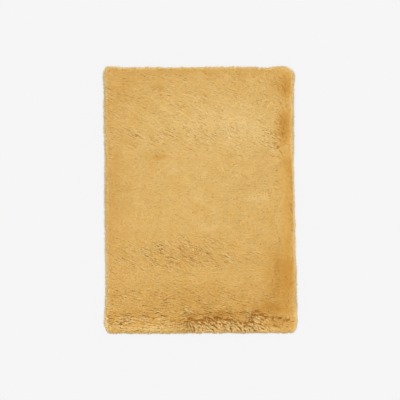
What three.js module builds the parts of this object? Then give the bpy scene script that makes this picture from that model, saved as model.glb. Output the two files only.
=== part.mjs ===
// A plush area rug: one cut panel of long, soft pile cloth that lies flat on the floor, pile side up.
// Millimetres. +X runs across the rug, +Y along it to the far end, +Z up. The origin is on the floor
// under the middle of the rug. The solid reaches as far as the pile does: a lumpy slab whose rim is
// parted into locks that fall over the cut edge and rest on the floor.

import * as THREE from 'three';
import { ImprovedNoise } from 'three/addons/math/ImprovedNoise.js';

// Driving sizes
const RUG_WIDTH = 1217; // across, between the mean lines of the lock tips
const RUG_LENGTH = 1700; // along, between the mean lines of the lock tips
const PILE_HEIGHT = 23; // floor to pile top where the pile lies even
const CORNER_RADIUS = { nearLeft: 55, nearRight: 41, farRight: 60, farLeft: 46 };

// Pile colour and finish
const MUSTARD = 0xd7ac65;
const PILE_ROUGHNESS = 0.95;

// Locks around the rim
const LOCK_COUNT = 230;
const LOCK_SPACING_SPREAD = 0.3; // how unevenly the locks part, as a share of one lock
const LOCK_LEAN = 0.28; // how far a tip drifts along the rim, as a share of one lock
const LOCK_REACH_SPREAD = 5; // longest tip less shortest tip
const PARTING_SINK = 0.92; // height of a parting, as a share of the lock's back beside it
const RANDOM_SEED = 1207;

// Rings of the rim, from the pile top down to the floor. rise is a share of the pile's height there,
// ridge and groove are how far inside the mean line a lock's back and the parting beside it lie, and
// lean is how much of LOCK_LEAN has been taken up.
const RIM_RINGS = [
  { rise: 0.87, ridge: 15, groove: 20, lean: 0 },
  { rise: 0.56, ridge: 3, groove: 9, lean: 0.4 },
  { rise: 0.11, ridge: -3.5, groove: 5, lean: 1 },
  { rise: 0, ridge: 1, groove: 8, lean: 0.9 },
];

// The field of pile inside the rim: a net of points, closer together in the ruffled near end
const FIELD_INSET = 31; // the net's edge, inside the mean line
const FIELD_COLUMNS = 44;
const FIELD_ROW_BANDS = [
  { downTo: 0.9, rows: 54 },
  { downTo: 1, rows: 10 },
];
const FIELD_DRIFT = 0.22; // how far a point strays from its place, as a share of the net's pitch

// Lumps of the pile: how high each size of swell rises, and how far apart the swells lie
const LUMPS = [
  { rise: 2.8, apart: 210 },
  { rise: 2.8, apart: 80 },
];
const LUMP_LAYER_STEP = 3.7; // keeps the two sizes of lump from following each other
const TUFT_RISE = 1.7; // each point of the net up or down, as one tuft stands over the next

// How far each side swells out of its mean line. share runs along the side, from the far end on the
// long sides and from the left on the short ones.
const LEFT_SWELL = [
  { share: 0.03, out: 11 },
  { share: 0.09, out: 5 },
  { share: 0.2, out: 6 },
  { share: 0.36, out: 0 },
  { share: 0.47, out: 2 },
  { share: 0.7, out: -3 },
  { share: 0.82, out: -6 },
  { share: 0.96, out: 2 },
];
const RIGHT_SWELL = [
  { share: 0.03, out: 0 },
  { share: 0.08, out: -8 },
  { share: 0.34, out: -8 },
  { share: 0.46, out: -3 },
  { share: 0.56, out: 2 },
  { share: 0.7, out: 4 },
  { share: 0.78, out: 10 },
  { share: 0.95, out: 13 },
];
const FAR_SWELL = [
  { share: 0.03, out: 7 },
  { share: 0.11, out: -3 },
  { share: 0.29, out: -1 },
  { share: 0.56, out: 2 },
  { share: 0.77, out: 2 },
  { share: 0.83, out: -2 },
  { share: 0.93, out: 9 },
  { share: 0.98, out: 1 },
];
const NEAR_SWELL = [
  { share: 0.09, out: 3 },
  { share: 0.42, out: 2 },
  { share: 0.52, out: -2 },
  { share: 0.97, out: -2 },
];

// Folds, furrows and ridges that the pile shows. across and along hold the places that a fold runs
// through, as shares of the rug's width from the left and of its length from the far end. reach is
// half the fold's width, and rise is how far its middle stands above the pile, or below it.
const FOLDS = [
  { name: 'crease, far third', reach: 24, rise: -3, across: [0.58, 0.9], along: [0.335, 0.34] },
  { name: 'dent left of it', reach: 34, rise: -3.5, across: [0.24, 0.31], along: [0.345, 0.335] },
  { name: 'swell beyond it', reach: 60, rise: 1.8, across: [0.62, 0.86], along: [0.29, 0.29] },
  { name: 'slash, right', reach: 20, rise: -3, across: [0.87, 0.92], along: [0.28, 0.33] },
  { name: 'hollow, far right', reach: 40, rise: -4.5, across: [0.94, 0.945], along: [0.07, 0.33] },
  { name: 'hollow, near right', reach: 34, rise: -3, across: [0.95, 0.955, 0.93], along: [0.36, 0.62, 0.86] },
  { name: 'faint line', reach: 22, rise: -2, across: [0.08, 0.36], along: [0.87, 0.875] },
  { name: 'crescent', reach: 18, rise: -5, across: [0.03, 0.09, 0.12], along: [0.94, 0.96, 0.948] },
  { name: 'furrow, left', reach: 22, rise: -6.5, across: [0.34, 0.47, 0.61], along: [0.94, 0.947, 0.945] },
  { name: 'furrow, out', reach: 20, rise: -6, across: [0.61, 0.7, 0.732], along: [0.945, 0.953, 0.968] },
  { name: 'furrow, back', reach: 20, rise: -5.5, across: [0.75, 0.79, 0.83], along: [0.95, 0.918, 0.937] },
  { name: 'furrow, right', reach: 20, rise: -4.5, across: [0.83, 0.955], along: [0.937, 0.943] },
  { name: 'bank beyond it', reach: 40, rise: 2.2, across: [0.36, 0.7], along: [0.905, 0.912] },
  { name: 'ruffle, middle', reach: 20, rise: 3.2, across: [0.4, 0.62, 0.7], along: [0.974, 0.972, 0.98] },
  { name: 'ruffle, right', reach: 20, rise: 2.6, across: [0.78, 0.93], along: [0.96, 0.968] },
];

const noise = new ImprovedNoise();
THREE.MathUtils.seededRandom(RANDOM_SEED);

// A number between -1 and 1
function stray() {
  return 2 * THREE.MathUtils.seededRandom() - 1;
}

// The swell at a share of a side, eased from row to row
function swellAt(rows, share) {
  if (share <= rows[0].share) return rows[0].out;
  for (let i = 1; i < rows.length; i += 1) {
    const before = rows[i - 1];
    const after = rows[i];
    if (share <= after.share) {
      const eased = THREE.MathUtils.smoothstep(share, before.share, after.share);
      return THREE.MathUtils.lerp(before.out, after.out, eased);
    }
  }
  return rows[rows.length - 1].out;
}

// A place after the four sides have swelled. Each point goes along with the sides it lies between, so
// a corner moves out whole.
function swell(place) {
  const across = place.x / RUG_WIDTH + 0.5;
  const along = 0.5 - place.y / RUG_LENGTH;
  const left = -swellAt(LEFT_SWELL, along);
  const right = swellAt(RIGHT_SWELL, along);
  const far = swellAt(FAR_SWELL, across);
  const near = -swellAt(NEAR_SWELL, across);
  place.x += THREE.MathUtils.lerp(left, right, across);
  place.y += THREE.MathUtils.lerp(far, near, along);
  return place;
}

// The mean line of the lock tips before it swells: a rectangle with four different round corners,
// run anticlockwise from the near left corner
function makeMeanLine() {
  const x = RUG_WIDTH / 2;
  const y = RUG_LENGTH / 2;
  const { nearLeft, nearRight, farRight, farLeft } = CORNER_RADIUS;
  const line = new THREE.Path();
  line.moveTo(-x + nearLeft, -y);
  line.lineTo(x - nearRight, -y);
  line.absarc(x - nearRight, -y + nearRight, nearRight, -Math.PI / 2, 0);
  line.lineTo(x, y - farRight);
  line.absarc(x - farRight, y - farRight, farRight, 0, Math.PI / 2);
  line.lineTo(-x + farLeft, y);
  line.absarc(-x + farLeft, y - farLeft, farLeft, Math.PI / 2, Math.PI);
  line.lineTo(-x, -y + nearLeft);
  line.absarc(-x + nearLeft, -y + nearLeft, nearLeft, Math.PI, 1.5 * Math.PI);
  return line;
}

const meanLine = makeMeanLine();

// A point of the rim, at a share of the way round and a distance inside the mean line
function rimPoint(share, inset) {
  const around = THREE.MathUtils.euclideanModulo(share, 1);
  const place = meanLine.getPoint(around);
  const along = meanLine.getTangent(around);
  const inward = new THREE.Vector2(-along.y, along.x);
  return swell(place.addScaledVector(inward, inset));
}

// The straight stretches of each fold's route, on the floor
const foldRoutes = FOLDS.map(({ across, along }) => {
  const places = across.map((share, i) => {
    const x = (share - 0.5) * RUG_WIDTH;
    const y = (0.5 - along[i]) * RUG_LENGTH;
    return new THREE.Vector3(x, y, 0);
  });
  return places.slice(1).map((end, i) => new THREE.Line3(places[i], end));
});

// How far the folds raise or lower the pile at a place
function foldRise(place) {
  const here = new THREE.Vector3(place.x, place.y, 0);
  const nearest = new THREE.Vector3();
  let total = 0;
  FOLDS.forEach(({ reach, rise }, fold) => {
    const distances = foldRoutes[fold].map((stretch) => {
      stretch.closestPointToPoint(here, true, nearest);
      return nearest.distanceTo(here);
    });
    total += rise * Math.exp(-((Math.min(...distances) / reach) ** 2));
  });
  return total;
}

// The height of the pile top over the floor at a place. The noise swells and sinks once in two units.
function pileTop(place) {
  let height = PILE_HEIGHT + foldRise(place);
  LUMPS.forEach(({ rise, apart }, layer) => {
    const across = (2 * place.x) / apart;
    const along = (2 * place.y) / apart;
    height += rise * noise.noise(across, along, layer * LUMP_LAYER_STEP);
  });
  return height;
}

const positions = [];
const triangles = [];

function addPoint(place, height) {
  positions.push(place.x, place.y, height);
  return positions.length / 3 - 1;
}

function pointAt(index) {
  return new THREE.Vector3().fromArray(positions, 3 * index);
}

// The shares of the field's length where its rows lie, from the far end
function fieldRowShares() {
  const shares = [0];
  for (const band of FIELD_ROW_BANDS) {
    const start = shares[shares.length - 1];
    for (let i = 1; i <= band.rows; i += 1) {
      shares.push(THREE.MathUtils.lerp(start, band.downTo, i / band.rows));
    }
  }
  return shares;
}

// The field's net of points, which swells with the four sides. It gives rows of indices, far row
// first, each from left to right.
function makeField() {
  const rowShares = fieldRowShares();
  const x = RUG_WIDTH / 2 - FIELD_INSET;
  const y = RUG_LENGTH / 2 - FIELD_INSET;
  const columnDrift = (FIELD_DRIFT * 2 * x) / FIELD_COLUMNS;
  return rowShares.map((down, row) => {
    const edgeRow = row === 0 || row === rowShares.length - 1;
    const rowDrift = edgeRow ? 0 : FIELD_DRIFT * 2 * y * (down - rowShares[row - 1]);
    const indices = [];
    for (let column = 0; column <= FIELD_COLUMNS; column += 1) {
      const edgeColumn = column === 0 || column === FIELD_COLUMNS;
      const place = new THREE.Vector2();
      place.x = THREE.MathUtils.lerp(-x, x, column / FIELD_COLUMNS);
      place.x += edgeColumn ? 0 : columnDrift * stray();
      place.y = THREE.MathUtils.lerp(y, -y, down) + rowDrift * stray();
      swell(place);
      indices.push(addPoint(place, pileTop(place) + TUFT_RISE * stray()));
    }
    return indices;
  });
}

// The rings of the rim: for each row of RIM_RINGS, two points a lock, its parting and then its back
function makeRim() {
  const locks = [];
  for (let i = 0; i < LOCK_COUNT; i += 1) {
    locks.push({
      parting: (i + 0.5 * LOCK_SPACING_SPREAD * stray()) / LOCK_COUNT,
      back: (i + 0.5 + 0.5 * LOCK_SPACING_SPREAD * stray()) / LOCK_COUNT,
      lean: (LOCK_LEAN * stray()) / LOCK_COUNT,
      reach: 0.5 * LOCK_REACH_SPREAD * stray(),
    });
  }
  return RIM_RINGS.map((ring) => {
    const indices = [];
    const onFloor = ring.rise === 0;
    for (const lock of locks) {
      const lean = lock.lean * ring.lean;
      const reach = lock.reach * ring.lean;
      const parting = rimPoint(lock.parting + 0.5 * lean, ring.groove);
      const back = rimPoint(lock.back + lean, ring.ridge - reach);
      indices.push(addPoint(parting, onFloor ? 0 : PARTING_SINK * ring.rise * pileTop(parting)));
      indices.push(addPoint(back, onFloor ? 0 : ring.rise * pileTop(back)));
    }
    return indices;
  });
}

// The faces of the field, two to each opening of its net, split along the shorter way across
function coverField(rows) {
  for (let row = 1; row < rows.length; row += 1) {
    for (let column = 1; column < rows[row].length; column += 1) {
      const farLeft = rows[row - 1][column - 1];
      const farRight = rows[row - 1][column];
      const nearLeft = rows[row][column - 1];
      const nearRight = rows[row][column];
      const falling = pointAt(farLeft).distanceTo(pointAt(nearRight));
      const rising = pointAt(nearLeft).distanceTo(pointAt(farRight));
      if (falling < rising) {
        triangles.push(farLeft, nearLeft, nearRight, farLeft, nearRight, farRight);
      } else {
        triangles.push(farLeft, nearLeft, farRight, farRight, nearLeft, nearRight);
      }
    }
  }
}

// The field's edge as one loop, anticlockwise from its near left corner
function fieldEdge(rows) {
  const far = rows[0];
  const near = rows[rows.length - 1];
  const last = FIELD_COLUMNS;
  const rightSide = rows.slice(1, -1).map((row) => row[last]);
  const leftSide = rows.slice(1, -1).map((row) => row[0]);
  return [...near, ...rightSide.reverse(), ...[...far].reverse(), ...leftSide];
}

// A strip of faces between two loops that run the same way and need not have as many points. Each
// step goes on along the loop that leaves the shorter way across.
function joinLoops(inner, outer) {
  const first = pointAt(inner[0]);
  const distances = outer.map((index) => pointAt(index).distanceTo(first));
  const start = distances.indexOf(Math.min(...distances));
  const outerAt = (step) => outer[(start + step) % outer.length];
  const innerAt = (step) => inner[step % inner.length];
  let innerStep = 0;
  let outerStep = 0;
  while (innerStep < inner.length || outerStep < outer.length) {
    const innerNext = pointAt(innerAt(innerStep + 1)).distanceTo(pointAt(outerAt(outerStep)));
    const outerNext = pointAt(outerAt(outerStep + 1)).distanceTo(pointAt(innerAt(innerStep)));
    const innerDone = innerStep === inner.length;
    const outerDone = outerStep === outer.length;
    if (outerDone || (!innerDone && innerNext < outerNext)) {
      triangles.push(innerAt(innerStep), outerAt(outerStep), innerAt(innerStep + 1));
      innerStep += 1;
    } else {
      triangles.push(innerAt(innerStep), outerAt(outerStep), outerAt(outerStep + 1));
      outerStep += 1;
    }
  }
}

// The strip between two rings of the rim, whose points stand below each other
function joinRings(upper, lower) {
  upper.forEach((here, i) => {
    const next = upper[(i + 1) % upper.length];
    const below = lower[i];
    const nextBelow = lower[(i + 1) % lower.length];
    const onBack = i % 2 === 1;
    if (onBack) {
      triangles.push(here, below, next, next, below, nextBelow);
    } else {
      triangles.push(here, below, nextBelow, here, nextBelow, next);
    }
  });
}

// The flat underside, which lies on the floor
function coverUnderside(ring) {
  const outline = ring.map((index) => {
    const point = pointAt(index);
    return new THREE.Vector2(point.x, point.y);
  });
  for (const [a, b, c] of THREE.ShapeUtils.triangulateShape(outline, [])) {
    triangles.push(ring[a], ring[c], ring[b]);
  }
}

function makeRugGeometry() {
  const field = makeField();
  const rings = makeRim();
  coverField(field);
  joinLoops(fieldEdge(field), rings[0]);
  for (let i = 1; i < rings.length; i += 1) {
    joinRings(rings[i - 1], rings[i]);
  }
  coverUnderside(rings[rings.length - 1]);

  const geometry = new THREE.BufferGeometry();
  geometry.setAttribute('position', new THREE.Float32BufferAttribute(positions, 3));
  geometry.setIndex(triangles);
  geometry.computeBoundingBox();
  const middle = geometry.boundingBox.getCenter(new THREE.Vector3());
  geometry.translate(-middle.x, -middle.y, 0);
  geometry.computeVertexNormals();
  return geometry;
}

const plushPile = new THREE.MeshStandardMaterial({
  color: MUSTARD,
  roughness: PILE_ROUGHNESS,
  metalness: 0,
});

const rug = new THREE.Mesh(makeRugGeometry(), plushPile);
rug.name = 'plush_rug';

const group = new THREE.Group();
group.name = 'plush_area_rug';
group.add(rug);

export default group;
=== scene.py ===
# A plush area rug in mustard, laid flat, seen square from above. Metres, in the frame of the packed
# solid: +X across the rug, +Y to its far end, +Z up, the floor at z = 0.

import math

import bpy
import numpy as np
from mathutils.bvhtree import BVHTree
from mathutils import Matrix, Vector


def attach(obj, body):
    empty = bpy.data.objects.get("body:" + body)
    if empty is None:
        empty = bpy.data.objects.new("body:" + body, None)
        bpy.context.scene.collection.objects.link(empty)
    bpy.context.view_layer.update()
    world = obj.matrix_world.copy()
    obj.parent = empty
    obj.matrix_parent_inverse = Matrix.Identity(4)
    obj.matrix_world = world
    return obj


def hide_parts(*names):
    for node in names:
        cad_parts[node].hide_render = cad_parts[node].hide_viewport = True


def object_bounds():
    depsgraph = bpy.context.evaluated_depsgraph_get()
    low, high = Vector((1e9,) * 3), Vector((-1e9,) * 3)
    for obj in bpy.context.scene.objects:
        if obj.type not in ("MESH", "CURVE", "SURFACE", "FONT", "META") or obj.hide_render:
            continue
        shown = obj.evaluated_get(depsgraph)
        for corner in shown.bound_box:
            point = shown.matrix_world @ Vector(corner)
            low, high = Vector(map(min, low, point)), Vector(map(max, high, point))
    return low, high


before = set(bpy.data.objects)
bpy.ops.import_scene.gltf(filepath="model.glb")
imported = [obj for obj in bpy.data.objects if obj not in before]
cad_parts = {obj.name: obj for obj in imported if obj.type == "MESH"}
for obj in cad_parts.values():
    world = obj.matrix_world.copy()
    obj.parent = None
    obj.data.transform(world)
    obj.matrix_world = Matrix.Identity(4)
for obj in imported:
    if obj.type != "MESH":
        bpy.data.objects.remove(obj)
solid_low, solid_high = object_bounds()


# The ground cloth
# One panel of warp-knitted cloth, cut to the rug's outline with scissors and left raw, because the
# pile falls over the cut. It lies flat on the floor, and its wales run the length of the rug.
CLOTH_INSET = 0.012  # the pile reaches this far past the cut edge
CLOTH_THICKNESS = 0.0022
WALE_WIDTH = 0.0021  # the ribs of the knitting, side by side
COURSE_HEIGHT = 0.0016  # its rows of loops, one after another
WAVE_AT_SCALE_ONE = 0.314  # metres from wave to wave in a wave texture of scale 1
FLOOR_LINE_INSET = 0.0045  # how far inside the mean line of the tips the solid meets the floor
FLAT_ON_FLOOR = 1e-5  # corners lower than this lie on the floor
RIM_STEP = 0.004  # spacing of the points along the rim line
RIM_SMOOTHINGS = 2

solid_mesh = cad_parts["plush_rug"].data
solid_points = np.empty(3 * len(solid_mesh.vertices))
solid_mesh.vertices.foreach_get("co", solid_points)
solid_points, merged = np.unique(
    np.round(solid_points.reshape(-1, 3), 6), axis=0, return_inverse=True
)
solid_triangles = np.empty(len(solid_mesh.loops), int)
solid_mesh.loops.foreach_get("vertex_index", solid_triangles)
solid_triangles = merged.reshape(-1)[solid_triangles].reshape(-1, 3)


def read_rim_line():
    """The mean line of the lock tips, anticlockwise: its points and its outward directions."""
    lying = (solid_points[solid_triangles][:, :, 2] < FLAT_ON_FLOOR).all(axis=1)
    underside = solid_triangles[lying]
    edges = {(a, b) for t in underside for a, b in zip(t, np.roll(t, -1))}
    after = {b: a for a, b in edges if (b, a) not in edges}
    loop = [next(iter(after))]
    while len(loop) < len(after):
        loop.append(after[loop[-1]])
    line = solid_points[loop, :2]
    for _ in range(RIM_SMOOTHINGS):
        line = (np.roll(line, 1, 0) + 2 * line + np.roll(line, -1, 0)) / 4
    closed = np.vstack([line, line[:1]])
    run = np.concatenate([[0], np.cumsum(np.linalg.norm(np.diff(closed, axis=0), axis=1))])
    steps = np.arange(0, run[-1], RIM_STEP)
    line = np.column_stack([np.interp(steps, run, closed[:, i]) for i in range(2)])
    along = np.roll(line, -2, 0) - np.roll(line, 2, 0)
    along /= np.linalg.norm(along, axis=1)[:, None]
    outward = np.column_stack([along[:, 1], -along[:, 0]])
    return line + FLOOR_LINE_INSET * outward, outward


rim_line, rim_outward = read_rim_line()
cloth_line = rim_line - CLOTH_INSET * rim_outward
bpy.ops.object.select_all(action="DESELECT")
bpy.ops.mesh.primitive_circle_add(vertices=len(cloth_line), radius=1, fill_type="NGON")
ground_cloth = bpy.context.object
ground_cloth.name = "ground_cloth"
cloth_points = np.column_stack([cloth_line, np.full(len(cloth_line), CLOTH_THICKNESS)])
ground_cloth.data.vertices.foreach_set("co", cloth_points.ravel())
bpy.ops.object.mode_set(mode="EDIT")
bpy.ops.mesh.select_all(action="SELECT")
bpy.ops.mesh.normals_make_consistent(inside=False)
bpy.ops.object.mode_set(mode="OBJECT")
if ground_cloth.data.polygons[0].normal.z < 0:
    ground_cloth.data.flip_normals()
thickness = ground_cloth.modifiers.new("thickness", "SOLIDIFY")
thickness.thickness = CLOTH_THICKNESS
thickness.offset = -1
bpy.ops.object.modifier_apply(modifier=thickness.name)


def make_material(name, colour, roughness):
    """A matt material, with its shader, and functions that add a node and join two sockets."""
    material = bpy.data.materials.new(name)
    material.use_nodes = True
    shader = material.node_tree.nodes["Principled BSDF"]
    shader.inputs["Base Color"].default_value = (*colour, 1)
    shader.inputs["Roughness"].default_value = roughness
    return material, shader, material.node_tree.nodes.new, material.node_tree.links.new


def add_two_tones(source, low, high, low_at=0.0, high_at=1.0):
    """The colour of a ramp that runs from one tone to another as source rises."""
    ramp = add("ShaderNodeValToRGB")
    ends = ramp.color_ramp.elements
    ends[0].position = low_at
    ends[0].color = (*low, 1)
    ends[1].position = high_at
    ends[1].color = (*high, 1)
    join(source, ramp.inputs["Fac"])
    return ramp.outputs["Color"]


def add_relief(source, strength, distance):
    """The direction of a surface on which source stands out as fine relief."""
    relief = add("ShaderNodeBump")
    relief.inputs["Strength"].default_value = strength
    relief.inputs["Distance"].default_value = distance
    join(source, relief.inputs["Height"])
    return relief.outputs["Normal"]


cloth_material, cloth_shader, add, join = make_material("knitted_ground", (0.44, 0.27, 0.10), 0.9)
cloth_place = add("ShaderNodeTexCoord")
ribs = []
for direction, width in [("X", WALE_WIDTH), ("Y", COURSE_HEIGHT)]:
    rib = add("ShaderNodeTexWave")
    rib.wave_type = "BANDS"
    rib.bands_direction = direction
    rib.inputs["Scale"].default_value = WAVE_AT_SCALE_ONE / width
    rib.inputs["Distortion"].default_value = 1.2
    rib.inputs["Detail"].default_value = 1.0
    join(cloth_place.outputs["Object"], rib.inputs["Vector"])
    ribs.append(rib)
loops = add("ShaderNodeMath")
loops.operation = "MULTIPLY"
join(ribs[0].outputs["Fac"], loops.inputs[0])
join(ribs[1].outputs["Fac"], loops.inputs[1])
loop_colour = add_two_tones(loops.outputs["Value"], low=(0.34, 0.19, 0.06), high=(0.52, 0.34, 0.14))
loop_relief = add_relief(loops.outputs["Value"], strength=0.6, distance=0.0006)
join(loop_colour, cloth_shader.inputs["Base Color"])
join(loop_relief, cloth_shader.inputs["Normal"])
ground_cloth.data.materials.append(cloth_material)
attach(ground_cloth, "root")
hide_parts("plush_rug")


# The underfur
# The short woolly fibres between the locks, knitted into the ground cloth together with them. They
# stand so close that the cloth never shows from above, and are about half as high as the pile.
UNDERFUR_COLUMNS = 90
UNDERFUR_ROWS = 126
UNDERFUR_INSET = 0.011
UNDERFUR_SHARE = 0.54  # its height, as a share of the pile's
UNDERFUR_GAP = 0.0002  # between its base and the cloth
GRID_EDGE = 0.4999  # the grid that it starts from is 1 wide, so its edge is at 0.5
WOOL_SCALE = 700
SHOULDER = 0.031  # the pile starts to round off this far inside the rim line
OVERHANG = 0.003  # and comes down to the floor this far outside it
HEIGHT_STEP = 0.008  # spacing of the heights read off the solid
PLACES_AT_ONCE = 4000  # held against the whole rim line together

rug_middle = (rim_line.min(0) + rim_line.max(0)) / 2
rug_size = rim_line.max(0) - rim_line.min(0)


def beside_rim(places):
    """How far places lie inside the rim line, and the outward direction there."""
    inside = np.empty(len(places))
    outward = np.empty((len(places), 2))
    for start in range(0, len(places), PLACES_AT_ONCE):
        end = start + PLACES_AT_ONCE
        some = places[start:end]
        gaps = rim_line[None] - some[:, None]
        nearest = np.argmin((gaps**2).sum(axis=2), axis=1)
        outward[start:end] = rim_outward[nearest]
        gap = gaps[np.arange(len(some)), nearest]
        inside[start:end] = (gap * rim_outward[nearest]).sum(axis=1)
    return inside, outward


def read_heights():
    """The height of the solid's top over a net of places."""
    tree = BVHTree.FromPolygons(solid_points.tolist(), solid_triangles.tolist())
    columns = np.arange(solid_low.x, solid_high.x, HEIGHT_STEP)
    rows = np.arange(solid_low.y, solid_high.y, HEIGHT_STEP)
    heights = np.zeros((len(rows), len(columns)))
    for i, y in enumerate(rows):
        for j, x in enumerate(columns):
            hit = tree.ray_cast((x, y, 1), (0, 0, -1))[0]
            heights[i, j] = hit.z if hit else 0
    return heights


solid_heights = read_heights()


def pile_top(places, inside, outward):
    """The height of the pile over the floor: the solid's, rounded off evenly towards the rim."""
    kept_in = places - outward * np.clip(SHOULDER - inside, 0, None)[:, None]
    column_at, row_at = ((kept_in - [solid_low.x, solid_low.y]) / HEIGHT_STEP).T
    i = np.clip(row_at.astype(int), 0, solid_heights.shape[0] - 2)
    j = np.clip(column_at.astype(int), 0, solid_heights.shape[1] - 2)
    f = np.clip(row_at - i, 0, 1)
    g = np.clip(column_at - j, 0, 1)
    near = solid_heights[i, j] * (1 - g) + solid_heights[i, j + 1] * g
    far = solid_heights[i + 1, j] * (1 - g) + solid_heights[i + 1, j + 1] * g
    fall = np.clip((inside + OVERHANG) / (SHOULDER + OVERHANG), 0, 1)
    return (near * (1 - f) + far * f) * np.sqrt(1 - (1 - fall) ** 2)


bpy.ops.object.select_all(action="DESELECT")
bpy.ops.mesh.primitive_grid_add(
    x_subdivisions=UNDERFUR_COLUMNS, y_subdivisions=UNDERFUR_ROWS, size=1
)
underfur = bpy.context.object
underfur.name = "underfur"
grid_points = np.empty(3 * len(underfur.data.vertices))
underfur.data.vertices.foreach_get("co", grid_points)
grid_points = grid_points.reshape(-1, 3)
at_edge = np.abs(grid_points[:, :2]).max(axis=1) > GRID_EDGE
places = rug_middle + grid_points[:, :2] * (rug_size - 2 * UNDERFUR_INSET)
inside, outward = beside_rim(places)
pull = UNDERFUR_INSET - inside
pull = np.where(at_edge, pull, np.clip(pull, 0, None))
places -= outward * pull[:, None]
inside += pull
grid_points[:, :2] = places
grid_points[:, 2] = UNDERFUR_SHARE * pile_top(places, inside, outward)
underfur.data.vertices.foreach_set("co", grid_points.ravel())
bpy.ops.object.mode_set(mode="EDIT")
bpy.ops.mesh.select_all(action="SELECT")
bpy.ops.mesh.region_to_loop()
bpy.ops.mesh.extrude_edges_move()
bpy.ops.transform.resize(value=(1, 1, 0))
bpy.ops.mesh.edge_face_add()
bpy.ops.object.mode_set(mode="OBJECT")
all_points = np.empty(3 * len(underfur.data.vertices))
underfur.data.vertices.foreach_get("co", all_points)
all_points = all_points.reshape(-1, 3)
all_points[len(grid_points) :, 2] = CLOTH_THICKNESS + UNDERFUR_GAP
underfur.data.vertices.foreach_set("co", all_points.ravel())
underfur.data.update()
bpy.ops.object.shade_smooth()

# its dark brown, far deeper than the pile's dye, is painted shade for the depths between the locks
underfur_material, underfur_shader, add, join = make_material("underfur", (0.30, 0.14, 0.03), 1.0)
wool_place = add("ShaderNodeTexCoord")
wool = add("ShaderNodeTexNoise")
wool.inputs["Scale"].default_value = WOOL_SCALE
wool.inputs["Detail"].default_value = 3
join(wool_place.outputs["Object"], wool.inputs["Vector"])
# random wool tone within the painted shade's dark brown
wool_tone_and_painted_shade = add_two_tones(
    wool.outputs["Fac"],
    low=(0.30, 0.12, 0.012),
    high=(0.46, 0.21, 0.028),
    low_at=0.35,
    high_at=0.65,
)
wool_relief = add_relief(wool.outputs["Fac"], strength=0.5, distance=0.001)
join(wool_tone_and_painted_shade, underfur_shader.inputs["Base Color"])
join(wool_relief, underfur_shader.inputs["Normal"])
underfur.data.materials.append(underfur_material)
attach(underfur, "root")
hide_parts("plush_rug")


# The pile over the top
# Long soft fibres that stand in locks. They are combed to the far left and lie over each other like
# shingles. Their tips draw together into fine tufts, and into big curls at the near end of the rug.
LOCK_PITCH = 0.00405
LOCK_STRAY = 0.45  # how far a root may stand out of its place, as a share of the pitch
LOCK_REACH = 0.021  # how far a lock leans over, from root to tip
LOCK_GIRTH = 0.0024
GIRTH_TAPER = [1.0, 0.8]
CALM_GIRTH = 1.15  # locks are this much stouter where the pile is calm
RESTLESS_THINNING = 0.35  # and this much less so where it is restless
LOCK_SIDES = 3
LEAST_HEIGHT = 0.0004  # no part of a lock is lower than this over the floor
CELL_MARGIN = 0.06  # each lock has its own cell of the UV map, with this margin
PALEST = -0.28  # the palest that random tone and painted light may make a lock, before the rim's painted light
RIM_PAINTED_LIGHT_BREADTH = 0.022  # painted light makes the pile paler this far in from the rim line
RIM_PAINTED_LIGHT = 0.14  # and at the rim itself by this much,
RIM_PAINTED_LIGHT_AT_SIDES = 0.26  # by this much more at the sides,
RIM_PAINTED_LIGHT_AT_FAR_END = 0.09  # and this much more at the far end, less at the near one
EXTRA_LOCKS = (0.070, 0.120)  # metres from the right side, from twice as many locks to no more
random = np.random.default_rng(1207)
normal = random.standard_normal

# heading is where the tips point, in degrees anticlockwise from the right. across and along are
# shares of the rug from its left side and its far end, wide and long are the reach in metres.
LAY = [
    dict(across=0.25, along=0.06, heading=166),
    dict(across=0.75, along=0.06, heading=162),
    dict(across=0.20, along=0.19, heading=152),
    dict(across=0.50, along=0.22, heading=143),
    dict(across=0.80, along=0.20, heading=151),
    dict(across=0.50, along=0.33, heading=162),
    dict(across=0.30, along=0.47, heading=179),
    dict(across=0.75, along=0.47, heading=182),
    dict(across=0.45, along=0.62, heading=146),
    dict(across=0.85, along=0.60, heading=175),
    dict(across=0.25, along=0.72, heading=150),
    dict(across=0.65, along=0.72, heading=150),
    dict(across=0.30, along=0.86, heading=172),
    dict(across=0.70, along=0.86, heading=167),
    dict(across=0.92, along=0.85, heading=176),
]
LAY_WIDTH = 0.17

# how restless the tufts are: 0 is brushed smooth, 1 is ruffled
RESTLESS = [
    dict(across=0.35, along=0.12, wide=0.60, long=0.22, more=0.10),
    dict(across=0.40, along=0.27, wide=0.60, long=0.08, more=0.12),
    dict(across=0.87, along=0.28, wide=0.10, long=0.07, more=0.12),
    dict(across=0.38, along=0.71, wide=0.40, long=0.10, more=0.28),
    dict(across=0.40, along=0.87, wide=0.60, long=0.08, more=0.20),
    dict(across=0.15, along=0.955, wide=0.35, long=0.05, more=0.40),
    dict(across=0.62, along=0.925, wide=0.28, long=0.022, more=0.40),
    dict(across=0.01, along=0.50, wide=0.05, long=0.90, more=0.15),
    dict(across=0.99, along=0.50, wide=0.03, long=0.90, more=0.10),
    dict(across=0.94, along=0.14, wide=0.08, long=0.14, more=0.08),
    dict(across=0.92, along=0.84, wide=0.12, long=0.10, more=0.07),
]
RESTLESS_EVERYWHERE = 0.02
RESTLESS_LEAST = 0.03
RESTLESS_IN_CURLS = 0.35
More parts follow.
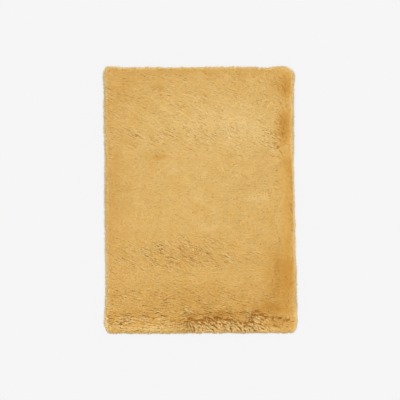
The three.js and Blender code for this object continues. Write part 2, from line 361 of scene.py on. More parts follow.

# patches of painted shade, where the lie of the pile makes it look darker, and with less than 0 of
# painted light, where it looks lighter
PAINTED_LIGHT_AND_SHADE = [
    dict(across=0.940, along=0.07, wide=0.055, long=0.08, more=0.50),
    dict(across=0.932, along=0.22, wide=0.055, long=0.10, more=0.62),
    dict(across=0.95, along=0.50, wide=0.050, long=0.30, more=0.25),
    dict(across=0.95, along=0.36, wide=0.050, long=0.06, more=0.26),
    dict(across=0.93, along=0.78, wide=0.110, long=0.18, more=0.48),
    dict(across=0.87, along=0.90, wide=0.120, long=0.040, more=0.34),
    dict(across=0.62, along=0.925, wide=0.24, long=0.026, more=0.32),
    dict(across=0.45, along=0.88, wide=0.60, long=0.120, more=0.22),
    dict(across=0.40, along=0.70, wide=0.40, long=0.100, more=0.12),
    dict(across=0.10, along=0.925, wide=0.18, long=0.020, more=0.22),
    dict(across=0.28, along=0.340, wide=0.045, long=0.018, more=0.30),
    dict(across=0.03, along=0.50, wide=0.090, long=0.60, more=0.14),
    dict(across=0.10, along=0.08, wide=0.20, long=0.16, more=0.08),
    dict(across=0.74, along=0.24, wide=0.20, long=0.16, more=-0.12),
    dict(across=0.80, along=0.49, wide=0.12, long=0.030, more=-0.14),
    dict(across=0.40, along=0.38, wide=0.07, long=0.030, more=-0.10),
    dict(across=0.54, along=0.60, wide=0.07, long=0.020, more=-0.10),
    dict(across=0.55, along=0.20, wide=0.35, long=0.120, more=-0.10),
    dict(across=0.50, along=0.02, wide=0.60, long=0.035, more=0.12),
    dict(across=0.50, along=0.35, wide=0.50, long=0.45, more=-0.06),
    dict(across=0.50, along=0.985, wide=0.90, long=0.035, more=-0.12),
    dict(across=0.92, along=0.965, wide=0.12, long=0.030, more=0.20),
]


def rug_place(across, along):
    """The place at a share of the rug from its left side and its far end."""
    return rug_middle + (np.array([across, 1 - along]).T - 0.5) * rug_size


def patch(places, row):
    """1 at the middle of a soft patch, falling to 0 around it."""
    gap = (places - rug_place(row["across"], row["along"])) / [row["wide"], row["long"]]
    return np.exp(-(gap**2).sum(axis=1))


def patches(places, rows):
    """The sum of a table's soft patches at places."""
    return sum(row["more"] * patch(places, row) for row in rows)


def chance(places, size, waves=16):
    """Soft random mottling, about 1 high and size metres from crest to crest."""
    total = np.zeros(len(places))
    for heading, stretch, start in zip(
        random.uniform(0, math.pi, waves),
        random.uniform(0.65, 1.5, waves),
        random.uniform(0, 2 * math.pi, waves),
    ):
        run = places @ [math.cos(heading), math.sin(heading)]
        total += np.sin(2 * math.pi * run * stretch / size + start)
    return total * math.sqrt(2 / waves)


def mottled(places, size, mean, swing, least, most):
    """A share that wavers softly about its mean, by chance."""
    return np.clip(mean + swing * chance(places, size), least, most)


def smooth(low, high, x):
    """0 where x is under low and 1 where it is over high, with a soft step between them."""
    t = np.clip((x - low) / (high - low), 0, 1)
    return t * t * (3 - 2 * t)


def lay_at(places):
    """Which way the tips point over the field, as a direction."""
    total = np.zeros((len(places), 2))
    for row in LAY:
        weight = patch(places, dict(row, wide=LAY_WIDTH, long=LAY_WIDTH)) + 1e-6
        heading = math.radians(row["heading"])
        total += weight[:, None] * [math.cos(heading), math.sin(heading)]
    return total / np.linalg.norm(total, axis=1)[:, None]


# Along the right side the tips turn outward, and past a ragged line near the near end they fall
# towards the near right corner. inset is the way from the rim, breadth is how slowly they turn there,
# turn is how fully they do so, and ruffle is how curly they are past the line.
RIGHT_TURN = dict(
    along=[0.0, 0.05, 0.20, 0.33, 0.40, 0.60, 0.75, 0.85, 1.0],
    inset=[0.060, 0.070, 0.075, 0.070, 0.030, 0.030, 0.045, 0.055, 0.055],
    breadth=[0.055, 0.055, 0.055, 0.055, 0.045, 0.045, 0.050, 0.055, 0.055],
)
NEAR_TURN = dict(
    across=[0.0, 0.34, 0.42, 0.47, 0.61, 0.70, 0.732, 0.75, 0.79, 0.83, 0.90, 0.95, 1.0],
    inset=[0.09, 0.09, 0.088, 0.085, 0.092, 0.085, 0.05, 0.09, 0.138, 0.105, 0.10, 0.095, 0.09],
    breadth=[0.04, 0.03, 0.02, 0.010, 0.007, 0.007, 0.007, 0.007, 0.008, 0.010, 0.015, 0.02, 0.03],
    turn=[0.0, 0.05, 0.3, 1.0, 1.0, 1.0, 1.0, 1.0, 1.0, 1.0, 0.9, 0.7, 0.5],
    ruffle=[0.05, 0.05, 0.2, 0.9, 1.0, 1.0, 1.0, 1.0, 0.8, 0.3, 0.12, 0.15, 0.1],
)
NEAR_HEADING = math.radians(-38)
RIGHT_TURN_WAVER = 0.008  # metres by which the line of each turn wavers by chance
NEAR_TURN_WAVER = 0.006
CURLS_START = (-0.030, 0.012)  # metres past the line, from no curls to full ones
OVER_RIM = (0.006, 0.026)  # metres inside the rim, from straight out to as the comb has it


def past_near_turn(places):
    """How far places lie past the line of the near end's turn, and their share across the rug."""
    across = (places[:, 0] - rug_middle[0]) / rug_size[0] + 0.5
    inset = np.interp(across, NEAR_TURN["across"], NEAR_TURN["inset"])
    return inset - (places[:, 1] - rim_line[:, 1].min()), across


def ruffle_at(places):
    """How curly the pile is: 0 over the field, and up to about 1 in the curls at the near end."""
    past, across = past_near_turn(places)
    amount = np.interp(across, NEAR_TURN["across"], NEAR_TURN["ruffle"])
    uneven = mottled(places, size=0.07, mean=1, swing=0.25, least=0.4, most=1.5)
    return amount * smooth(*CURLS_START, past) * uneven


def comb(places):
    """Which way the tips lean away from the rim, and how much: a vector of length 0 to 1."""
    lean = lay_at(places)
    heading = np.arctan2(lean[:, 1], lean[:, 0]) % (2 * math.pi)
    along = 0.5 - (places[:, 1] - rug_middle[1]) / rug_size[1]
    gap = rim_line[:, 0].max() - places[:, 0] + RIGHT_TURN_WAVER * chance(places, size=0.12)
    inset = np.interp(along, RIGHT_TURN["along"], RIGHT_TURN["inset"])
    breadth = np.interp(along, RIGHT_TURN["along"], RIGHT_TURN["breadth"])
    heading *= 1 - smooth(-1, 1, (inset - gap) / breadth)
    lean = np.column_stack([np.cos(heading), np.sin(heading)])
    past, across = past_near_turn(places)
    past = past + NEAR_TURN_WAVER * chance(places, size=0.035)
    breadth = np.interp(across, NEAR_TURN["across"], NEAR_TURN["breadth"])
    turn = smooth(-1, 1, past / breadth) * np.interp(across, NEAR_TURN["across"], NEAR_TURN["turn"])
    near = np.array([math.cos(NEAR_HEADING), math.sin(NEAR_HEADING)])
    return lean * (1 - turn)[:, None] + near * turn[:, None]


def comb_over_rim(lean, inside, outward):
    """The same lean, turned straight outward close to the rim."""
    turn = 1 - smooth(*OVER_RIM, inside)
    return lean * (1 - turn)[:, None] + outward * turn[:, None]


# short openings in the pile, dark with real shade and with painted shade, as routes on the rug with
# their breadth in metres
HOLLOWS = [
    dict(across=[0.34, 0.37, 0.44], along=[0.946, 0.950, 0.942], breadth=0.003, deep=0.6),
    dict(across=[0.44, 0.48, 0.51], along=[0.940, 0.952, 0.946], breadth=0.007, deep=1.5),
    dict(
        across=[0.51, 0.56, 0.61, 0.66],
        along=[0.935, 0.955, 0.945, 0.953],
        breadth=0.007,
        deep=1.5,
    ),
    dict(
        across=[0.66, 0.71, 0.735, 0.77],
        along=[0.953, 0.950, 0.966, 0.935],
        breadth=0.005,
        deep=1.0,
    ),
    dict(
        across=[0.76, 0.79, 0.82, 0.876, 0.955],
        along=[0.930, 0.917, 0.935, 0.937, 0.943],
        breadth=0.005,
        deep=1.3,
    ),
    dict(across=[0.84, 0.916], along=[0.966, 0.974], breadth=0.004, deep=1.3),
    dict(
        across=[0.026, 0.060, 0.089, 0.115],
        along=[0.935, 0.950, 0.960, 0.948],
        breadth=0.004,
        deep=1.1,
    ),
    dict(across=[0.20, 0.26], along=[0.930, 0.942], breadth=0.004, deep=1.0),
    dict(across=[0.455, 0.485], along=[0.944, 0.954], breadth=0.011, deep=0.9),
    dict(across=[0.575, 0.610], along=[0.934, 0.950], breadth=0.009, deep=0.9),
    dict(across=[0.700, 0.735], along=[0.954, 0.966], breadth=0.008, deep=0.7),
    dict(across=[0.785, 0.820], along=[0.914, 0.930], breadth=0.010, deep=0.9),
    dict(across=[0.60, 0.90], along=[0.333, 0.337], breadth=0.004, deep=0.22),
    dict(across=[0.265, 0.275], along=[0.330, 0.352], breadth=0.004, deep=0.3),
    dict(across=[0.12, 0.14], along=[0.235, 0.245], breadth=0.004, deep=1.2),
    dict(across=[0.16, 0.18], along=[0.255, 0.265], breadth=0.004, deep=1.0),
    dict(across=[0.23, 0.25], along=[0.262, 0.272], breadth=0.004, deep=0.8),
    dict(across=[0.87, 0.92], along=[0.285, 0.325], breadth=0.004, deep=1.1),
    dict(across=[0.88, 0.90], along=[0.295, 0.300], breadth=0.004, deep=1.0),
]
HOLLOW_DROP = 0.007  # how far the tips sink beside an opening
HOLLOW_PAINTED_SHADE = 1.3  # and how much painted shade deepens their colour


def open_hollows(roots, tips):
    """Draws the tips back from the hollows, each to its own side, and says how open it is there."""
    ragged = mottled(tips, size=0.022, mean=0.55, swing=1.2, least=0.08, most=1.5)
    opened = np.zeros(len(tips))
    for row in HOLLOWS:
        route = rug_place(np.array(row["across"]), np.array(row["along"]))
        for start, end in zip(route[:-1], route[1:]):
            length = np.linalg.norm(end - start)
            way = (end - start) / length
            side = np.array([-way[1], way[0]])
            run = np.clip((tips - start) @ way, 0, length)
            gap = np.linalg.norm(tips - start - run[:, None] * way, axis=1)
            here = row["deep"] * ragged * np.exp(-((gap / row["breadth"]) ** 2))
            own_side = np.sign((roots - start) @ side)
            tip_side = (tips - start) @ side * own_side
            wanted = np.maximum(tip_side, row["breadth"])
            tips = tips + (np.clip(here, 0, 1) * (wanted - tip_side) * own_side)[:, None] * side
            opened = np.maximum(opened, here)
    return tips, opened


def scatter():
    """Places all over the rug, a lock's pitch apart and each a little out of its place."""
    columns = np.arange(rim_line[:, 0].min(), rim_line[:, 0].max() + LOCK_PITCH, LOCK_PITCH)
    rows = np.arange(rim_line[:, 1].min(), rim_line[:, 1].max() + LOCK_PITCH, LOCK_PITCH)
    net = np.stack(np.meshgrid(columns, rows), axis=-1)
    net = net + LOCK_PITCH * random.uniform(-LOCK_STRAY, LOCK_STRAY, net.shape)
    return net.reshape(-1, 2)


# Tufts stand like bricks in rows along their heading, each a little out of its place. A lock belongs
# to the nearest of the tufts this many rows and columns around it.
ROW_STRAY = 0.28
COLUMN_STRAY = 0.35
ROWS_AROUND = 3
COLUMNS_AROUND = 1


def into_tufts(places, lay, width, length, heading):
    """How far places lie along and across from the middle of their tuft, and the tuft's number."""
    row_way = np.array([math.cos(heading), math.sin(heading)])
    column_way = np.array([-row_way[1], row_way[0]])
    row_at = places @ column_way / width
    column_at = places @ row_way / length
    first = np.floor([row_at.min(), column_at.min()]).astype(int) - ROWS_AROUND
    last = np.ceil([row_at.max(), column_at.max()]).astype(int) + ROWS_AROUND
    rows, columns = last - first
    row_numbers = np.arange(rows)[:, None]
    middle_rows = row_numbers + random.uniform(-ROW_STRAY, ROW_STRAY, (rows, columns))
    middle_columns = np.arange(columns)[None] + 0.5 * (row_numbers % 2)
    column_strays = random.uniform(-COLUMN_STRAY, COLUMN_STRAY, (rows, columns))
    middle_columns = middle_columns + column_strays
    middles = (middle_rows + first[0])[..., None] * width * column_way
    middles = middles + (middle_columns + first[1])[..., None] * length * row_way
    own_row = np.round(row_at).astype(int) - first[0]
    own_column = np.round(column_at).astype(int) - first[1]
    best = np.full(len(places), np.inf)
    offset = np.zeros((len(places), 2))
    number = np.zeros(len(places), int)
    for i in range(-ROWS_AROUND, ROWS_AROUND + 1):
        for j in range(-COLUMNS_AROUND, COLUMNS_AROUND + 1):
            row = np.clip(own_row + i, 0, rows - 1)
            column = np.clip(own_column + j, 0, columns - 1)
            gap = places - middles[row, column]
            along = (gap * lay).sum(axis=1)
            across = gap[:, 1] * lay[:, 0] - gap[:, 0] * lay[:, 1]
            far = np.hypot(along * width / length, across)
            closer = far < best
            best = np.where(closer, far, best)
            offset[closer] = np.column_stack([along, across])[closer]
            number[closer] = (row * columns + column)[closer]
    return offset, number


def by_tuft(number):
    """One random value for each tuft, handed to all of its locks."""
    return random.standard_normal(number.max() + 1)[number]


def rim_painted_light(outward):
    """How much painted light makes the pile paler where it falls over the rim: least at the near end.
    """
    at_sides = RIM_PAINTED_LIGHT_AT_SIDES * np.abs(outward[:, 0])
    return RIM_PAINTED_LIGHT + at_sides + RIM_PAINTED_LIGHT_AT_FAR_END * outward[:, 1]


def turned(ways, angles):
    """Directions, each turned anticlockwise by its angle."""
    c = np.cos(angles)
    s = np.sin(angles)
    return np.column_stack([ways[:, 0] * c - ways[:, 1] * s, ways[:, 0] * s + ways[:, 1] * c])


def lock_faces(rings):
    """The triangles of one lock, point to point over its rings, and their places on a UV cell."""
    faces = []
    uvs = []
    for corner in range(LOCK_SIDES):
        after = (corner + 1) % LOCK_SIDES
        left = corner / LOCK_SIDES
        right = (corner + 1) / LOCK_SIDES
        middle = (left + right) / 2
        first_ring = 1 / (rings + 1)
        faces.append([0, 1 + after, 1 + corner])
        uvs.append([(middle, 0), (right, first_ring), (left, first_ring)])
        for ring in range(rings - 1):
            a = 1 + LOCK_SIDES * ring + corner
            b = 1 + LOCK_SIDES * ring + after
            low = (ring + 1) / (rings + 1)
            high = (ring + 2) / (rings + 1)
            faces.append([a, b, b + LOCK_SIDES])
            uvs.append([(left, low), (right, low), (right, high)])
            faces.append([a, b + LOCK_SIDES, a + LOCK_SIDES])
            uvs.append([(left, low), (right, high), (left, high)])
        last = 1 + LOCK_SIDES * (rings - 1)
        last_ring = rings / (rings + 1)
        faces.append([last + corner, last + after, 1 + LOCK_SIDES * rings])
        uvs.append([(left, last_ring), (right, last_ring), (middle, 1)])
    return np.array(faces), np.array(uvs)


def make_locks(name, spines, girths, painted_light_shade_and_tone, at_root=None):
    """One mesh of closed locks. spines are (locks, points, 3), girths (locks, points - 2)."""
    count, points = spines.shape[:2]
    rings = points - 2
    per_lock = 2 + LOCK_SIDES * rings
    vertices = np.empty((count, per_lock, 3))
    vertices[:, 0] = spines[:, 0]
    vertices[:, -1] = spines[:, -1]
    along = np.empty((count, per_lock))
    along[:, 0] = 0
    along[:, -1] = 1
    roll = random.uniform(0, 2 * math.pi / LOCK_SIDES, count)
    for ring in range(rings):
        way = spines[:, ring + 2] - spines[:, ring]
        way /= np.linalg.norm(way, axis=1)[:, None]
        side = np.cross(way, [0.0, 0.0, 1.0])
        side /= np.linalg.norm(side, axis=1)[:, None] + 1e-9
        upper = np.cross(side, way)
        for corner in range(LOCK_SIDES):
            angle = roll + corner * 2 * math.pi / LOCK_SIDES
            out = np.cos(angle)[:, None] * side + np.sin(angle)[:, None] * upper
            k = 1 + LOCK_SIDES * ring + corner
            vertices[:, k] = spines[:, ring + 1] + girths[:, ring, None] * out
            along[:, k] = (ring + 1) / (rings + 1)
    vertices[:, :, 2] = np.maximum(vertices[:, :, 2], LEAST_HEIGHT)
    faces, uvs = lock_faces(rings)
    all_faces = faces[None] + per_lock * np.arange(count)[:, None, None]
    cells = math.ceil(math.sqrt(count))
    cell = np.column_stack([np.arange(count) % cells, np.arange(count) // cells])
    in_cell = CELL_MARGIN + (1 - 2 * CELL_MARGIN) * uvs
    all_uvs = (cell[:, None, None] + in_cell[None]) / cells
    mesh = bpy.data.meshes.new(name)
    mesh.vertices.add(count * per_lock)
    mesh.vertices.foreach_set("co", vertices.ravel())
    mesh.loops.add(all_faces.size)
    mesh.loops.foreach_set("vertex_index", all_faces.ravel())
    mesh.polygons.add(all_faces.size // 3)
    mesh.polygons.foreach_set("loop_start", np.arange(0, all_faces.size, 3))
    mesh.polygons.foreach_set("use_smooth", np.ones(all_faces.size // 3, bool))
    mesh.update(calc_edges=True)
    mesh.uv_layers.new(name="OFBake").data.foreach_set("uv", all_uvs.ravel())
    mesh.attributes.new("along", "FLOAT", "POINT").data.foreach_set("value", along.ravel())
    at_tip = painted_light_shade_and_tone[:, None]
    at_root = at_tip if at_root is None else at_root
    each = at_root + (at_tip - at_root) * along
    mesh.attributes.new("painted_light_shade_and_tone", "FLOAT", "POINT").data.foreach_set("value", each.ravel())
    piece = bpy.data.objects.new(name, mesh)
    bpy.context.scene.collection.objects.link(piece)
    return piece


# the width and length of the tufts: streaks of one tone, the field's own tufts, the larger waves
# that swing together, and the curls at the near end
STREAK = (0.0050, 0.028)
STRAND = (0.0118, 0.022)
WAVE = (0.016, 0.040)
CURL = (0.0088, 0.021)
FIELD_HEADING = math.radians(159)

# how much the field's tufts vary: in calm pile, and what fully restless pile adds to that
STRAND_SWING = (0.01, 0.20)  # radians to the side
WAVE_SWING = (0.01, 0.12)
STRAND_DRAW = (0.05, 0.9)  # how far the tips close up, as a share of the way
STRAND_ROUND = (0.0001, 0.0060)  # metres that a tuft's middle stands over its sides
ODD_DEPTH = (0.010, 0.70)  # random deeper tone, in the same measure as the patches of painted light and shade
STREAK_DEPTH = (0.012, 0.36)
# painted shade on the side of each tuft away from the sun
SHADED_SIDE_PAINTED_SHADE = (0.02, 1.60)

# how much the curls vary, where they are at their fullest
CURL_SWING = 0.25
CURL_DRAW = 0.6
CURL_ROUND = 0.0062
CURL_BEND = 0.003
CURL_TIP_DROP = 0.0020
# painted shade around the edge of each curl, and painted light over the curls
CURL_EDGE_PAINTED_SHADE = 1.2
CURL_PAINTED_LIGHT = 0.42
CURL_DEPTH_CHANCE = 0.12

# how the locks of any tuft stand and lie, their random tone, and the painted shade on a tuft's shaded
# side
TUFT_EDGE = 1.2  # locks further out than this many half widths count as being there
CURL_HALF = 0.55  # half a curl's width, as a share of it
DRAW_MOST = 0.55
DRAW_ALONG = 0.2  # the tips close up this much less along the tuft than across it
TUFT_MEAN = 0.3  # taken off a tuft's roundness, so that it neither lifts nor sinks the pile
STRAND_STEP = 0.0001  # metres by which one tuft stands over the next, by chance
WAVE_STEP = 0.0005
CURL_STEP = 0.0016
REACH_CHANCE = 0.10
STRAND_REACH_CHANCE = 0.16
TIP_STRAY = 0.0012
GIRTH_RANGE = (0.8, 1.2)
HOLLOW_RANGE = (0.2, 1.6)
ODD_RANGE = (-0.5, 3)
SHADED_SIDE = (0.50, 0.95)  # from a tuft's middle to its side, where the painted shade starts and is full
SHADED_MEAN = 0.2
DEPTH_CHANCE = 0.02

# a lock's points from root to tip: the share of its reach, and of its draw, that each has got to
SPINE = [
    dict(share=0.0, bulge=0.0),
    dict(share=0.36, bulge=0.3),
    dict(share=0.74, bulge=0.2),
    dict(share=1.0, bulge=0.0),
]
ROOT_HEIGHT = 0.3  # as a share of the pile's height
KNEE_HEIGHT = 0.9
KNEE_RELIEF = 0.6  # as a share of the relief at the tip
KNEE_OVER_TIP = 0.004
BEND_CHANCE = 0.0006
TIP_DROP = 0.0015
TIP_DROP_CHANCE = 0.0005


def by_restlessness(calm, more):
    """A measure that grows with how restless the pile is at each root."""
    return calm + more * restless


# where the locks are rooted, closer together near the right side, where the pile opens
roots = scatter()
between = scatter()
from_right = rim_line[:, 0].max() - between[:, 0]
between = between[random.uniform(0, 1, len(between)) > smooth(*EXTRA_LOCKS, from_right)]
roots = np.concatenate([roots, between])
inside, outward = beside_rim(roots)
kept = inside > CLOTH_INSET
roots, inside, outward = roots[kept], inside[kept], outward[kept]
count = len(roots)

# how restless they are, which way they lean, and the tufts that they belong to
ruffle = ruffle_at(roots)
restless = np.clip(RESTLESS_EVERYWHERE + patches(roots, RESTLESS), RESTLESS_LEAST, 1.0)
restless = restless * mottled(roots, size=0.10, mean=1, swing=0.35, least=0.4, most=1.8)
restless = restless + RESTLESS_IN_CURLS * ruffle
lean = comb_over_rim(comb(roots), inside, outward)
lay = lean / (np.linalg.norm(lean, axis=1)[:, None] + 1e-9)
strand, strand_number = into_tufts(roots, lay, *STRAND, FIELD_HEADING)
curl, curl_number = into_tufts(roots, lay, *CURL, NEAR_HEADING)
wave_turn = by_tuft(into_tufts(roots, lay, *WAVE, FIELD_HEADING)[1])
streak_tone = by_tuft(into_tufts(roots, lay, *STREAK, FIELD_HEADING)[1])
strand_side = np.clip(strand[:, 1] / (0.5 * STRAND[0]), -TUFT_EDGE, TUFT_EDGE)
curl_out = np.hypot(curl[:, 0] * CURL[0] / CURL[1], curl[:, 1]) / (CURL_HALF * CURL[0])
curl_out = np.clip(curl_out, 0, TUFT_EDGE)
strand_turn = by_tuft(strand_number)
strand_tone = by_tuft(strand_number)
curl_turn = by_tuft(curl_number)
curl_tone = by_tuft(curl_number)
swing = by_restlessness(*STRAND_SWING) * strand_turn + by_restlessness(*WAVE_SWING) * wave_turn
swing += CURL_SWING * ruffle * curl_turn
lean = turned(lean, swing)
lay = turned(lay, swing)
across_lay = np.column_stack([-lay[:, 1], lay[:, 0]])

# where their tips come to lie
drawn = np.zeros((count, 2))
for offset, draw in [(strand, by_restlessness(*STRAND_DRAW)), (curl, CURL_DRAW * ruffle)]:
    draw = np.clip(draw, 0, DRAW_MOST)
    drawn -= lay * (DRAW_ALONG * draw * offset[:, 0])[:, None]
    drawn -= across_lay * (draw * offset[:, 1])[:, None]
reach = 1 + REACH_CHANCE * normal(count) + STRAND_REACH_CHANCE * restless * strand_tone
tips = roots + lean * (LOCK_REACH * reach)[:, None] + drawn + TIP_STRAY * normal((count, 2))
tips, opened = open_hollows(roots, tips)
tip_inside, tip_outward = beside_rim(tips)

# how high they stand: each tuft and each curl is round, and some stand over the next
own_top = pile_top(roots, inside, outward)
top = pile_top(tips, tip_inside, tip_outward) - HOLLOW_DROP * opened
relief = by_restlessness(*STRAND_ROUND) * (TUFT_MEAN - strand_side**2)
relief += CURL_ROUND * ruffle * (TUFT_MEAN - curl_out**3)
relief += STRAND_STEP * strand_turn + WAVE_STEP * restless * wave_turn
relief += CURL_STEP * ruffle * curl_tone
relief *= np.clip(inside / SHOULDER, 0, 1)
spines = np.empty((count, 4, 3))
for point, row in enumerate(SPINE):
    spines[:, point, :2] = roots + row["share"] * (tips - roots) + row["bulge"] * drawn
knee = np.minimum(own_top, top + KNEE_OVER_TIP)
drop = TIP_DROP + CURL_TIP_DROP * ruffle
spines[:, 0, 2] = ROOT_HEIGHT * own_top
spines[:, 1, 2] = KNEE_HEIGHT * knee + KNEE_RELIEF * relief
spines[:, 2, 2] = top + relief + BEND_CHANCE * normal(count)
spines[:, 3, 2] = top + relief - drop + TIP_DROP_CHANCE * normal(count)
spines[:, 2, :2] += across_lay * (CURL_BEND * ruffle * curl_turn)[:, None]
girths = LOCK_GIRTH * random.uniform(*GIRTH_RANGE, (count, 1)) * GIRTH_TAPER
girths *= (CALM_GIRTH - RESTLESS_THINNING * np.clip(restless, 0, 1))[:, None]

# the colour of each lock: painted shade in the hollows, on a tuft's shaded side, around a curl and in
# patches, random deeper tone on odd locks and streaks, and painted light over the curls, in patches
# and towards the rim
# painted light and shade in soft patches over the field
painted_light_shade_and_tone = patches(tips, PAINTED_LIGHT_AND_SHADE)
# painted shade on the locks beside the hollows
painted_light_shade_and_tone += HOLLOW_PAINTED_SHADE * opened * random.uniform(*HOLLOW_RANGE, count)
odd_ones = np.clip(random.exponential(1, count) - 1, *ODD_RANGE)
painted_light_shade_and_tone += by_restlessness(*ODD_DEPTH) * odd_ones + by_restlessness(*STREAK_DEPTH) * streak_tone
# painted shade on the side of each tuft away from the sun, less its mean
shade = smooth(*SHADED_SIDE, strand_side) - SHADED_MEAN
painted_light_shade_and_tone += by_restlessness(*SHADED_SIDE_PAINTED_SHADE) * shade
# painted shade around each curl's edge and painted light over the curls, with random tone
painted_light_shade_and_tone += ruffle * (CURL_EDGE_PAINTED_SHADE * curl_out**4 - CURL_PAINTED_LIGHT + CURL_DEPTH_CHANCE * curl_tone)
painted_light_shade_and_tone += DEPTH_CHANCE * chance(roots, size=0.15)
painted_light_shade_and_tone = np.maximum(painted_light_shade_and_tone, PALEST)
# painted light towards the rim
painted_light_shade_and_tone -= (1 - smooth(0.0, RIM_PAINTED_LIGHT_BREADTH, tip_inside)) * rim_painted_light(tip_outward)

# the locks past the near turn are one piece with a bend more, and the rest are four strips
NEAR_END_MARGIN = 0.02
STRIPS = ["pile_near", "pile_near_middle", "pile_far_middle", "pile_far"]
at_near_end = past_near_turn(roots)[0] > -NEAR_END_MARGIN
from_near_end = (roots[:, 1] - rim_line[:, 1].min()) / rug_size[1]
strip = np.clip((from_near_end * len(STRIPS)).astype(int), 0, len(STRIPS) - 1)
pile_pieces = [
    make_locks(
        "pile_near_end", spines[at_near_end], girths[at_near_end], painted_light_shade_and_tone[at_near_end]
    )
]
for number, name in enumerate(STRIPS):
    chosen = (strip == number) & ~at_near_end
    simpler = spines[chosen][:, [0, 1, 3]]
    pile_pieces.append(make_locks(name, simpler, girths[chosen, :1], painted_light_shade_and_tone[chosen]))

pile_material, pile_shader, add, join = make_material("plush_pile", (0.7, 0.44, 0.14), 0.75)
along = add("ShaderNodeAttribute")
along.attribute_name = "along"
root_to_tip = add_two_tones(
    along.outputs["Fac"], low=(0.59, 0.322, 0.056), high=(0.715, 0.506, 0.204), low_at=0.22
)
# each lock's random tone together with its painted light and shade
light_shade_and_tone = add("ShaderNodeAttribute")
light_shade_and_tone.attribute_name = "painted_light_shade_and_tone"
power = add("ShaderNodeMath")
power.operation = "ADD"
power.inputs[1].default_value = 1.0
join(light_shade_and_tone.outputs["Fac"], power.inputs[0])
# the dye's colour, deepened or paled by random tone and by painted light and shade
dye_with_painted_light_and_shade = add("ShaderNodeGamma")
join(root_to_tip, dye_with_painted_light_and_shade.inputs["Color"])
join(power.outputs["Value"], dye_with_painted_light_and_shade.inputs["Gamma"])
around = add("ShaderNodeUVMap")
around.uv_map = "OFBake"
strands = add("ShaderNodeMapping")
strands.inputs["Scale"].default_value = (1500, 120, 1)
join(around.outputs["UV"], strands.inputs["Vector"])
fibres = add("ShaderNodeTexNoise")
fibres.inputs["Scale"].default_value = 1.0
fibres.inputs["Detail"].default_value = 1.0
join(strands.outputs["Vector"], fibres.inputs["Vector"])
fibre_tone = add_two_tones(
    fibres.outputs["Fac"], low=(0.92, 0.89, 0.82), high=(1.0, 1.0, 1.0), low_at=0.3, high_at=0.65
)
strand_colour = add("ShaderNodeMix")
strand_colour.data_type = "RGBA"
strand_colour.blend_type = "MULTIPLY"
strand_colour.inputs["Factor"].default_value = 1.0
join(dye_with_painted_light_and_shade.outputs["Color"], strand_colour.inputs["A"])
join(fibre_tone, strand_colour.inputs["B"])
join(strand_colour.outputs["Result"], pile_shader.inputs["Base Color"])
fibre_relief = add_relief(fibres.outputs["Fac"], strength=0.25, distance=0.0004)
join(fibre_relief, pile_shader.inputs["Normal"])
pile_shader.inputs["Sheen Weight"].default_value = 0.2
pile_shader.inputs["Sheen Tint"].default_value = (1.0, 0.72, 0.36, 1)
pile_shader.inputs["Sheen Roughness"].default_value = 0.5
pile_shader.inputs["Specular IOR Level"].default_value = 0.2
for piece in pile_pieces:
    piece.data.materials.append(pile_material)
    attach(piece, "root")
    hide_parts("plush_rug")


# The rim of the pile
# The outermost fibres, in five rows of locks rooted one over the other at the cut edge of the cloth.
# They fall over it to the floor and draw together in small tufts, and painted light makes them paler
# at their tips.
RIM_RISES = [2, 18, 34, 50, 66]  # degrees up from the floor, a row each, the lowest first
RIM_REACHES = [0.0142, 0.0136, 0.0128, 0.0116, 0.0105]
RIM_PITCH = 0.0027  # from lock to lock along a row
RIM_ROW_STEP = 0.001  # each row is rooted this much further in and higher than the last
RIM_ROOT_HEIGHT = 0.0025
RIM_GIRTHS = [0.0020, 0.0016]
RIM_GIRTH_RANGE = (0.85, 1.15)
RIM_STRAY = 0.4  # how far a lock may stand out of its place, as a share of the pitch
RIM_TUFT_PITCH = 0.0135
RIM_TUFT_STRAY = 0.42
RIM_COMB_INSET = 0.02  # the comb at the rim is read off this far inside it
RIM_CLOSE_UP = 0.55  # how far the locks of a tuft draw together, as a share of the way
RIM_TUFT_ROUND = 0.18  # and how much less they reach at its sides
RIM_LEAN = 0.7  # how far they follow the comb
RIM_END_REACH = 0.0020  # how much further they reach at the two ends of the rug
RIM_HEIGHT_SHARE = 1.35
RIM_DROOP_REACH = 0.25  # how much further they reach as they droop
RIM_TIP_DROP = 0.001
RIM_LOWEST_TIP = 0.0006
RIM_TIP_PAINTED_LIGHT = 1.35  # painted light at the tips, times as much as on the pile beside them
RIM_ROOT_DEPTH = 0.3
RIM_BEND = [
    dict(share=0.35, droop=0.0),
    dict(share=0.72, droop=0.12),
    dict(share=1.0, droop=0.45),
]

# how much they differ by chance, lock by lock or tuft by tuft
RIM_RISE_CHANCE = 6  # degrees
RIM_REACH_CHANCE = 0.05
RIM_DRIFT_CHANCE = 0.0008
RIM_DEPTH_CHANCE = 0.10
RIM_TUFT_REACH_CHANCE = 0.0009
RIM_TUFT_DRIFT_CHANCE = 0.0030
RIM_TUFT_DEPTH_CHANCE = 0.08
RIM_WAVER = 0.0009
rim_length = len(rim_line) * RIM_STEP


def along_rim(count, stray):
    """Lengths along the rim line, evenly spread and each a little out of its place."""
    return (np.arange(count) + random.uniform(-stray, stray, count)) / count * rim_length


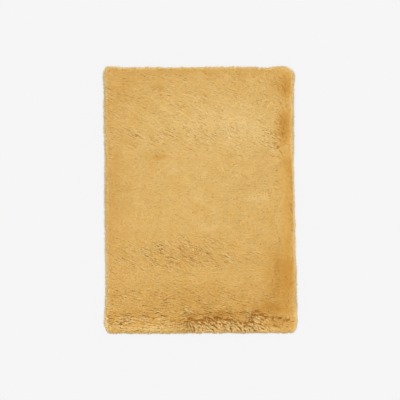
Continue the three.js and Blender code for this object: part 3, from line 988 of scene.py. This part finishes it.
def rim_locks():
    """The spines of the rim's locks, and their colour at the tips: random tone and painted light."""
    tuft_count = int(rim_length / RIM_TUFT_PITCH)
    tuft_at = along_rim(tuft_count, RIM_TUFT_STRAY)
    tuft_reach = RIM_TUFT_REACH_CHANCE * normal(tuft_count)
    tuft_drift = RIM_TUFT_DRIFT_CHANCE * normal(tuft_count)
    tuft_tone = normal(tuft_count)
    waver = RIM_WAVER * chance(rim_line, size=0.05) + RIM_WAVER * chance(rim_line, size=0.11)
    rim_lean = comb(rim_line - RIM_COMB_INSET * rim_outward)
    count = int(rim_length / RIM_PITCH)
    spines = []
    tones_and_painted_light = []
    for row in range(len(RIM_RISES)):
        run = along_rim(count, RIM_STRAY)
        index = (run / RIM_STEP).astype(int) % len(rim_line)
        nearest = np.argmin(np.abs(tuft_at[None] - run[:, None]), axis=1)
        gap = run - tuft_at[nearest]
        out = rim_outward[index]
        side = np.column_stack([-out[:, 1], out[:, 0]])
        root = rim_line[index] - (CLOTH_INSET + RIM_ROW_STEP * row) * out
        rise = np.radians(RIM_RISES[row] + random.normal(0, RIM_RISE_CHANCE, count))
        reach = RIM_REACHES[row] * (1 + RIM_REACH_CHANCE * normal(count))
        reach += tuft_reach[nearest] + waver[index]
        reach -= RIM_TUFT_ROUND * np.abs(gap) - RIM_END_REACH * np.abs(out[:, 1])
        drift = tuft_drift[nearest] - RIM_CLOSE_UP * gap + RIM_DRIFT_CHANCE * normal(count)
        drift += RIM_LEAN * reach * (rim_lean[index] * side).sum(axis=1)
        spine = np.zeros((count, 4, 3))
        spine[:, 0, :2] = root
        spine[:, 0, 2] = RIM_ROOT_HEIGHT + RIM_ROW_STEP * row
        for point, bend in enumerate(RIM_BEND, start=1):
            share, droop = bend["share"], bend["droop"]
            forward = reach * share * (np.cos(rise) + RIM_DROOP_REACH * droop)
            up = reach * RIM_HEIGHT_SHARE * share * np.sin(rise) * (1 - droop)
            spine[:, point, :2] = root + out * forward[:, None] + side * (drift * share)[:, None]
            spine[:, point, 2] = spine[:, 0, 2] + up
        spine[:, 3, 2] = np.maximum(spine[:, 3, 2] - RIM_TIP_DROP, RIM_LOWEST_TIP)
        spines.append(spine)
        tone = RIM_DEPTH_CHANCE * normal(count) + RIM_TUFT_DEPTH_CHANCE * tuft_tone[nearest]
        # painted light on the tips of the rim's locks
        tones_and_painted_light.append(tone - RIM_TIP_PAINTED_LIGHT * rim_painted_light(out))
    return np.concatenate(spines), np.concatenate(tones_and_painted_light)


rim_spines, rim_painted_light_and_tone = rim_locks()
rim_girths = np.array(RIM_GIRTHS) * random.uniform(*RIM_GIRTH_RANGE, (len(rim_spines), 1))
pile_rim = make_locks("pile_rim", rim_spines, rim_girths, rim_painted_light_and_tone, at_root=RIM_ROOT_DEPTH)
pile_rim.data.materials.append(pile_material)
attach(pile_rim, "root")
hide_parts("plush_rug")


# The floor, the light and the camera
# A pale floor that gives off part of its own light, so that it is as even as in the photo. A soft
# sky and one broad sun from the far end light the pile, and the camera looks square down on it.
FLOOR_GLOW = 0.605
SKY_STRENGTH = 1.27
SUN_STRENGTH = 1.6
SUN_BREADTH = math.radians(20)
CAMERA_HEIGHT = 3.56
CAMERA_OFF_CENTRE = 0.0004

bpy.ops.object.select_all(action="DESELECT")
bpy.ops.mesh.primitive_plane_add(size=60, location=(0, 0, 0))
floor = bpy.context.object
floor.name = "floor"
floor_material, floor_shader, add, join = make_material("pale_floor", (0.2, 0.2, 0.2), 0.9)
floor_shader.inputs["Specular IOR Level"].default_value = 0
floor_shader.inputs["Emission Color"].default_value = (1, 1, 1, 1)
floor_shader.inputs["Emission Strength"].default_value = FLOOR_GLOW
floor.data.materials.append(floor_material)

world = bpy.data.worlds.new("studio")
world.use_nodes = True
world.node_tree.nodes["Background"].inputs["Color"].default_value = (0.9, 0.9, 0.9, 1)
world.node_tree.nodes["Background"].inputs["Strength"].default_value = SKY_STRENGTH
bpy.context.scene.world = world

bpy.ops.object.light_add(type="SUN", location=(-2, 2, 3))
sun = bpy.context.object
sun.data.energy = SUN_STRENGTH
sun.data.angle = SUN_BREADTH
sun.rotation_euler = (math.radians(-30), math.radians(5), 0)

bpy.ops.object.camera_add(location=(CAMERA_OFF_CENTRE, CAMERA_OFF_CENTRE, CAMERA_HEIGHT))
camera = bpy.context.object
camera.data.lens = 50
bpy.context.scene.camera = camera
bpy.context.scene.view_settings.view_transform = "Standard"
